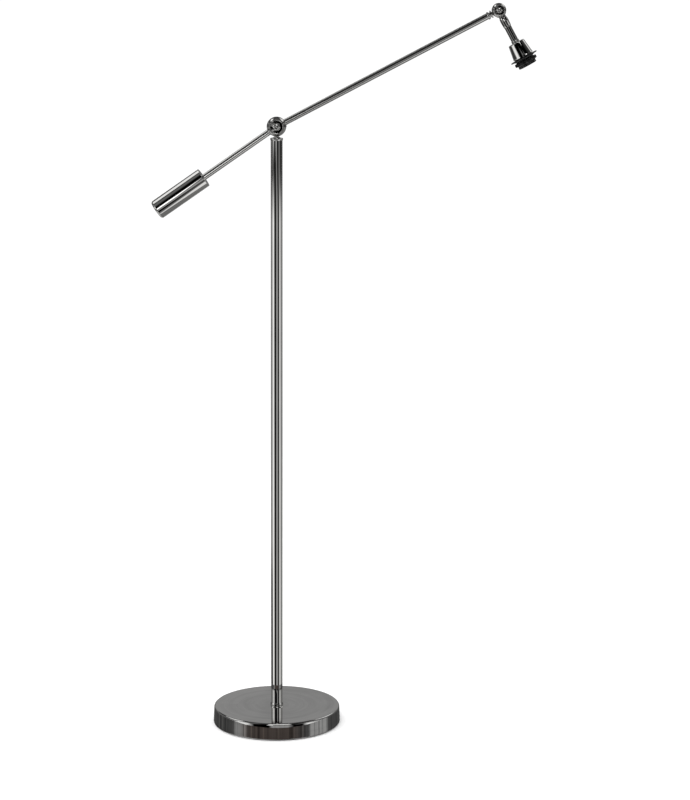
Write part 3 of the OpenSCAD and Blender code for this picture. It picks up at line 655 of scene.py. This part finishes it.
pole_low, pole_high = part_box("pole_tube")
FRONT_ROD_END = (HEAD - ELBOW).length / MM - TUBE_CLEAR
sleeve("pole_sleeve", "pole_tube", Matrix.Identity(4), POLE_R, pole_low.z / MM, pole_high.z / MM)
sleeve("front_sleeve", "front_rod", frame_at(ELBOW, ARM_DIR), ROD_R, ROD_START, FRONT_ROD_END)
sleeve("stem_sleeve", "stem_tube", frame_at(HEAD, STEM_DIR), STEM_R, TUBE_CLEAR, STEM_END)
add_piece("rear_bar", lathe([
    (0, THREAD_START), (THREAD_R, THREAD_START), (THREAD_R, ROD_START), (ROD_R, ROD_START),
    (ROD_R, REAR_ROD_END), (THREAD_R, REAR_ROD_END), (THREAD_R, REAR_ROD_END + THREAD_REACH),
    (0, REAR_ROD_END + THREAD_REACH)],
    TUBE_SEGMENTS), frame_at(ELBOW, REAR_DIR), "rear_rod")

# ---------------------------------------------------------------- studio


def ramp(nodes, factor, stops):
    """Brightness by share of a turn. Each stop is (degrees round from the front, brightness)."""
    node = nodes.add("ShaderNodeValToRGB", {"Fac": factor})
    elements = node.color_ramp.elements
    while len(elements) > 1:
        elements.remove(elements[-1])
    for i, (degrees, value) in enumerate(stops):
        share = min(1.0, degrees / 360 + 0.5)
        element = elements[0] if i == 0 else elements.new(share)
        element.position = share
        element.color = grey(value)
    return node.outputs[0]


world = bpy.data.worlds.new("studio")
world.use_nodes = True
scene.world = world
nodes = Nodes(world.node_tree)
direction = nodes.add("ShaderNodeTexCoord").outputs["Generated"]
dx, dy, dz = nodes.add("ShaderNodeSeparateXYZ", {0: direction}).outputs
around = nodes.azimuth(dx, dy)
height = nodes.math("MULTIPLY", nodes.math("ARCSINE", dz), 360 / TAU)
off_front = nodes.apart(nodes.math("MULTIPLY", around, 360.0), 180.0)

# A plain studio by direction, as (degrees round from the front, brightness): a window on each side, a pale wall
# in front and dark stretches between. First at eye level, then across the bar between the windows' panes.
EYE_LEVEL = [
    (-180, 0.2), (-100, 0.3), (-70, 1.2), (-55, 1.2), (-40, 0.0), (-12, 0.0), (-6, 0.4), (22, 0.4), (32, 0.0),
    (50, 0.0), (60, 1.2), (90, 0.5), (110, 0.25), (180, 0.25)]
GAP = [(-180, 0.1), (-60, 0.1), (-40, 0.0), (-15, 0.0), (0, 0.4), (15, 0.0), (30, 0.0), (45, 0.2), (65, 0.2),
       (80, 0.0), (180, 0.2)]
# above the windows, below them, and steeply down
HIGH = [(-180, 0.05), (-80, 0.05), (-50, 0.2), (-30, 0.0), (45, 0.0), (120, 0.1), (180, 0.05)]
LOW = [(-180, 0.05), (-85, 0.05), (-60, 0.4), (-40, 0.0), (10, 0.0), (30, 0.2), (180, 0.3)]
UNDER = [(-180, 0.4), (-70, 0.7), (15, 0.2), (180, 0.2)]
# degrees above eye level where each side's windows end
TOPS = [
    (-180, 25), (-155, 25), (-140, 20), (-45, 20), (-35, 12), (5, 12), (10, 20), (27, 20), (32, 12), (45, 12),
    (52, 20), (140, 20), (155, 25), (180, 25)]
# degrees below eye level where the dark floor of the room starts
BOTTOMS = [(-180, 14), (-90, 14), (-80, 18), (180, 18)]
# degrees over which each stretch fades in or out
TOP_FADE, BOTTOM_FADE = (0.0, 5.0), (-0.8, 0.4)
GAP_IN, GAP_OUT, UNDER_IN, ZENITH_IN = (-5.4, -3.8), (12.5, 14.5), (-40, -36), (60, 72)
# wall straight behind: its sides by degrees from the front, and its middle height and half height
WALL_SIDES, WALL_HEIGHT, WALL_HALF = (146, 158), 18, (6, 8)
WALL_BRIGHT, ZENITH_BRIGHT = 0.34, 0.10
# soft boxes: azimuth, elevation, half width, half height, brightness
BOXES = [
    (-115, 48, 27, 10, 1.2), (134, 40, 22, 13, 1.0), (8, 47, 24, 12, 2.0), (4, 5, 8, 8, 0.05),
    (-10, 2, 5, 5, 2.4), (-60, 2, 12, 5, 1.5), (53, -46, 23, 9, 1.0)]
BOX_EDGE_ACROSS, BOX_EDGE_UP = 1.5, 1.0


def limit_ramp(stops):
    """Elevation in degrees by turn, kept between 0 and 1 inside the ramp."""
    shares = [(degrees, limit / 90) for degrees, limit in stops]
    return nodes.math("MULTIPLY", ramp(nodes, around, shares), 90.0)


eye_level, gap, high_up, low_down, underneath = (
    ramp(nodes, around, stops) for stops in (EYE_LEVEL, GAP, HIGH, LOW, UNDER))
over_top = nodes.math("SUBTRACT", height, limit_ramp(TOPS))
over_bottom = nodes.math("ADD", height, limit_ramp(BOTTOMS))
in_gap = nodes.math("MULTIPLY", nodes.rise(height, *GAP_IN), nodes.fall(height, *GAP_OUT))
on_wall = nodes.math("MULTIPLY", nodes.rise(off_front, *WALL_SIDES),
                     nodes.fall(nodes.apart(height, WALL_HEIGHT), *WALL_HALF))
seen = nodes.mix(in_gap, eye_level, gap)
seen = nodes.mix(nodes.rise(over_top, *TOP_FADE), seen, high_up)
seen = nodes.mix(on_wall, seen, grey(WALL_BRIGHT))
seen = nodes.mix(nodes.fall(over_bottom, *BOTTOM_FADE), seen, low_down)
seen = nodes.mix(nodes.fall(height, *UNDER_IN), seen, underneath)
seen = nodes.mix(nodes.rise(height, *ZENITH_IN), seen, grey(ZENITH_BRIGHT))
for azimuth, elevation, half_width, half_height, brightness in BOXES:
    aside = nodes.apart(around, azimuth / 360 + 0.5)
    away = nodes.apart(height, elevation)
    across = nodes.fall(aside, (half_width - BOX_EDGE_ACROSS) / 360, (half_width + BOX_EDGE_ACROSS) / 360)
    upright = nodes.fall(away, half_height - BOX_EDGE_UP, half_height + BOX_EDGE_UP)
    seen = nodes.mix(nodes.math("MULTIPLY", across, upright), seen, grey(brightness))
clutter = nodes.noise(nodes.stretch(direction, (2, 2, 0.6)), 6.0, 5.0, 0.6)
seen = nodes.mix(nodes.spread(clutter, 0.54, 0.72, 0.0, 0.2), seen, grey(0.0))

FILL_STRENGTH, BACKDROP_STRENGTH = 1.25, 1.06
rays = nodes.add("ShaderNodeLightPath").outputs
reflected = nodes.add("ShaderNodeBackground", {"Color": seen, "Strength": 1.0}).outputs[0]
soft = nodes.add("ShaderNodeBackground", {"Color": grey(1.0), "Strength": FILL_STRENGTH}).outputs[0]
backdrop = nodes.add("ShaderNodeBackground", {"Color": grey(1.0), "Strength": BACKDROP_STRENGTH}).outputs[0]
lit = nodes.add("ShaderNodeMixShader", {0: rays["Is Diffuse Ray"], 1: reflected, 2: soft}).outputs[0]
whole = nodes.add("ShaderNodeMixShader", {0: rays["Is Camera Ray"], 1: lit, 2: backdrop}).outputs[0]
nodes.add("ShaderNodeOutputWorld", {"Surface": whole})

# A dark card close round the base, below its upper edge: only the polished side of the base mirrors it.
# It carries two lit strips: degrees round from the front, half width, brightness.
STRIPS = [(-50, 7, 0.3), (65, 14, 0.4)]
STRIP_EDGE, CARD_DARK = 6.0, 0.08
APRON_R, APRON_TOP, APRON_DROP = 250.0, 8.0, 68.0


apron_edge = [(APRON_R, APRON_TOP), (APRON_R, APRON_TOP - APRON_DROP)]
apron = as_object("apron", lathe(apron_edge, 256, closed=False), Matrix.Scale(MM, 4))
apron_paint = bpy.data.materials.new("apron_glow")
apron_paint.use_nodes = True
nodes = Nodes(apron_paint.node_tree)
place = nodes.add("ShaderNodeTexCoord").outputs["Object"]
ax, ay, _ = nodes.add("ShaderNodeSeparateXYZ", {0: place}).outputs
round_it = nodes.azimuth(ax, ay)
glow = grey(CARD_DARK)
for azimuth, half_width, brightness in STRIPS:
    aside = nodes.apart(round_it, azimuth / 360 + 0.5)
    strip = nodes.fall(aside, half_width / 360, (half_width + STRIP_EDGE) / 360)
    glow = nodes.mix(strip, glow, grey(brightness))
# dark and pale streaks, and a brownish tint near the front, in the card's glow: painted reflections that show only
# in the polished side of the base
stripes = nodes.add("ShaderNodeTexNoise", {
    "W": nodes.math("MULTIPLY", round_it, 60.0), "Scale": 1.0, "Detail": 3.0, "Roughness": 0.65,
}, noise_dimensions="1D").outputs["Fac"]
glow = nodes.mix(nodes.spread(stripes, 0.30, 0.50, 0.6, 0.0), glow, grey(0.005))
glow = nodes.mix(nodes.spread(stripes, 0.60, 0.78, 0.0, 0.3), glow, (0.36, 0.35, 0.33, 1))
near_front = nodes.fall(nodes.apart(round_it, 0.49), 0.06, 0.14)
brown = nodes.add("ShaderNodeMix", data_type="RGBA", blend_type="MULTIPLY")
nodes.tree.links.new(near_front, brown.inputs[0])
nodes.tree.links.new(glow, brown.inputs[6])
brown.inputs[7].default_value = (1.0, 0.82, 0.74, 1)
light = nodes.add("ShaderNodeEmission", {"Color": brown.outputs[2], "Strength": 1.0})
nodes.add("ShaderNodeOutputMaterial", {"Surface": light.outputs[0]})
dress(apron, apron_paint)
apron.visible_camera = False
apron.visible_diffuse = False
apron.visible_shadow = False
apron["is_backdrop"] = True

# pale floor that fades out into the backdrop, and isn't mirrored in the polished base
FLOOR_R, FLOOR_FADE, FLOOR_RINGS = 3.6, 1.6, 12
floor = as_object("floor", lathe([(FLOOR_R * i / FLOOR_RINGS, 0) for i in range(FLOOR_RINGS + 1)], 96),
                  Matrix.Identity(4))
material, nodes, shader = new_material("floor_paint")
place = nodes.add("ShaderNodeTexCoord").outputs["Object"]
fx, fy, _ = nodes.add("ShaderNodeSeparateXYZ", {0: place}).outputs
grain = nodes.noise(place, 9.0, 4.0)
connect(nodes, shader, "Base Color", nodes.mix(grain, grey(0.925), grey(0.945)))
connect(nodes, shader, "Roughness", nodes.spread(grain, 0.3, 0.7, 0.8, 0.95))
connect(nodes, shader, "Alpha", nodes.fall(nodes.reach(fx, fy), FLOOR_FADE, FLOOR_R * 0.97))
shader.inputs["Specular IOR Level"].default_value = 0.0
dress(floor, material)
floor.visible_glossy = False
floor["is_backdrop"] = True

# one large soft lamp overhead, a little to the left and in front
LAMP_AT, LAMP_TARGET = Vector((-1.1, -1.5, 3.6)), Vector((0, 0, 0.6))
LAMP_SIZE, LAMP_POWER = (2.6, 1.8), 40.0
lamp_data = bpy.data.lights.new("softbox", "AREA")
lamp_data.shape = "RECTANGLE"
lamp_data.size, lamp_data.size_y = LAMP_SIZE
lamp_data.energy = LAMP_POWER
lamp = bpy.data.objects.new("softbox", lamp_data)
lamp.location = LAMP_AT
lamp.rotation_euler = (LAMP_TARGET - LAMP_AT).to_track_quat("-Z", "Y").to_euler()
lamp.visible_glossy = False
scene.collection.objects.link(lamp)

scene.view_settings.view_transform = "Standard"
scene.view_settings.look = "None"

# ---------------------------------------------------------------- end

low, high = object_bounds()
